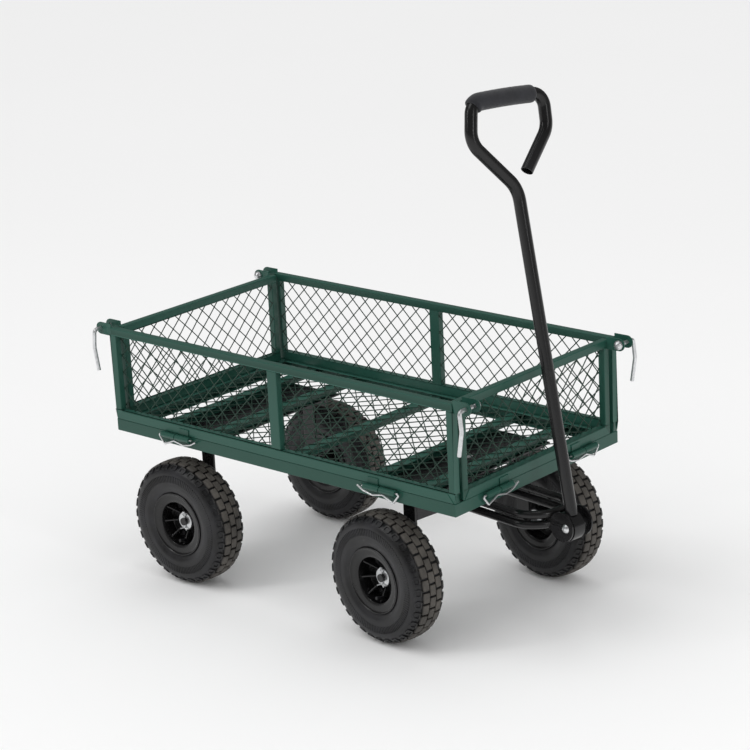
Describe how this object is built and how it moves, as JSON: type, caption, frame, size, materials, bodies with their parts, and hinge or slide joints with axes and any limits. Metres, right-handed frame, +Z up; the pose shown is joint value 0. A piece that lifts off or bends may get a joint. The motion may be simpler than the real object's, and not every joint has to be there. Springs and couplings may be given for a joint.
{
  "type": "garden cart",
  "caption": "Steel garden cart with fold-down mesh sides held by sliding corner latches, air-filled tyres, and a steered front axle pulled by a hinged loop handle.",
  "frame": {"origin": "on the ground under the middle of the deck", "axes": "+X forward to the pull handle, +Y to the cart's left, +Z up"},
  "size_m": [1.0664, 0.5382, 1.0515],
  "materials": {
    "green_frame": "dark green powder coat",
    "green_mesh": "dark green powder coat on steel mesh",
    "black_steel": "satin black powder coat",
    "zinc_hardware": "bright zinc plate",
    "tyre_rubber": "moulded rubber, lightly dusty",
    "grip_foam": "closed-cell foam"
  },
  "bodies": {
    "deck": {"deck_rails": "green_frame", "deck_cross_members": "green_frame", "deck_mesh_floor": "green_mesh", "deck_hinge_barrels": "green_frame", "hinge_lock_wires": "zinc_hardware", "front_pivot_plate": "black_steel", "king_pin": "zinc_hardware", "pivot_thrust_washer": "zinc_hardware", "rear_axle_bracket": "black_steel", "rear_axle_stubs": "black_steel", "rear_axle_sleeves": "zinc_hardware", "rear_cotter_pins": "zinc_hardware"},
    "steering": {"front_axle_bracket": "black_steel", "drawbar_tie_plate": "black_steel", "drawbar_lower_loop": "black_steel", "drawbar_upper_loop": "black_steel", "yoke_cheeks": "black_steel", "yoke_bolt": "zinc_hardware", "yoke_spacers": "black_steel", "front_axle_stubs": "black_steel", "front_axle_sleeves": "zinc_hardware", "front_cotter_pins": "zinc_hardware"},
    "handle": {"handle_tube": "black_steel", "handle_knuckle": "black_steel", "handle_grip": "grip_foam"},
    "right_side": {"right_side_frame": "green_frame", "right_side_mesh": "green_mesh", "right_side_hinges": "green_frame", "right_side_latch_ears": "green_frame"},
    "left_side": {"left_side_frame": "green_frame", "left_side_mesh": "green_mesh", "left_side_hinges": "green_frame", "left_side_latch_ears": "green_frame"},
    "front_panel": {"front_panel_frame": "green_frame", "front_panel_mesh": "green_mesh", "front_panel_hinges": "green_frame", "front_panel_latch_ears": "green_frame", "front_panel_latch_sockets": "zinc_hardware"},
    "rear_panel": {"rear_panel_frame": "green_frame", "rear_panel_mesh": "green_mesh", "rear_panel_hinges": "green_frame", "rear_panel_latch_ears": "green_frame", "rear_panel_latch_sockets": "zinc_hardware"},
    "front_right_latch": {"front_right_latch_rod": "zinc_hardware"},
    "front_left_latch": {"front_left_latch_rod": "zinc_hardware"},
    "rear_right_latch": {"rear_right_latch_rod": "zinc_hardware"},
    "rear_left_latch": {"rear_left_latch_rod": "zinc_hardware"},
    "front_left_wheel": {"front_left_tyre": "tyre_rubber", "front_left_rim": "black_steel", "front_left_bearings": "zinc_hardware"},
    "front_right_wheel": {"front_right_tyre": "tyre_rubber", "front_right_rim": "black_steel", "front_right_bearings": "zinc_hardware"},
    "rear_left_wheel": {"rear_left_tyre": "tyre_rubber", "rear_left_rim": "black_steel", "rear_left_bearings": "zinc_hardware"},
    "rear_right_wheel": {"rear_right_tyre": "tyre_rubber", "rear_right_rim": "black_steel", "rear_right_bearings": "zinc_hardware"}
  },
  "joints": [
    {"name": "steering_turn", "type": "hinge", "parent": "deck", "child": "steering", "pos_m": [0.27, 0, 0.29], "axis": [0, 0, 1], "range_deg": [-21.5, 34.5]},
    {"name": "handle_tilt", "type": "hinge", "parent": "steering", "child": "handle", "pos_m": [0.55217, -0.03215, 0.239], "axis": [0.1132, 0.9936, 0], "range_deg": [0, 115]},
    {"name": "front_left_wheel_spin", "type": "hinge", "parent": "steering", "child": "front_left_wheel", "pos_m": [0.2949, 0.21859, 0.13], "axis": [0.1132, 0.9936, 0], "continuous": true},
    {"name": "front_right_wheel_spin", "type": "hinge", "parent": "steering", "child": "front_right_wheel", "pos_m": [0.2451, -0.21859, 0.13], "axis": [0.1132, 0.9936, 0], "continuous": true},
    {"name": "rear_left_wheel_spin", "type": "hinge", "parent": "deck", "child": "rear_left_wheel", "pos_m": [-0.29, 0.22, 0.13], "axis": [0, 1, 0], "continuous": true},
    {"name": "rear_right_wheel_spin", "type": "hinge", "parent": "deck", "child": "rear_right_wheel", "pos_m": [-0.29, -0.22, 0.13], "axis": [0, 1, 0], "continuous": true},
    {"name": "right_side_fold", "type": "hinge", "parent": "deck", "child": "right_side", "pos_m": [0, -0.257, 0.322], "axis": [1, 0, 0], "range_deg": [0, 160]},
    {"name": "left_side_fold", "type": "hinge", "parent": "deck", "child": "left_side", "pos_m": [0, 0.257, 0.322], "axis": [-1, 0, 0], "range_deg": [0, 160]},
    {"name": "front_panel_fold", "type": "hinge", "parent": "deck", "child": "front_panel", "pos_m": [0.457, 0, 0.322], "axis": [0, 1, 0], "range_deg": [0, 8]},
    {"name": "rear_panel_fold", "type": "hinge", "parent": "deck", "child": "rear_panel", "pos_m": [-0.457, 0, 0.322], "axis": [0, -1, 0], "range_deg": [0, 170]},
    {"name": "front_right_latch_slide", "type": "slide", "parent": "right_side", "child": "front_right_latch", "axis": [0, 1, 0], "range_m": [0, 0.0105]},
    {"name": "front_left_latch_slide", "type": "slide", "parent": "left_side", "child": "front_left_latch", "axis": [0, -1, 0], "range_m": [0, 0.0105]},
    {"name": "rear_right_latch_slide", "type": "slide", "parent": "right_side", "child": "rear_right_latch", "axis": [0, 1, 0], "range_m": [0, 0.0105]},
    {"name": "rear_left_latch_slide", "type": "slide", "parent": "left_side", "child": "rear_left_latch", "axis": [0, -1, 0], "range_m": [0, 0.0105]}
  ]
}
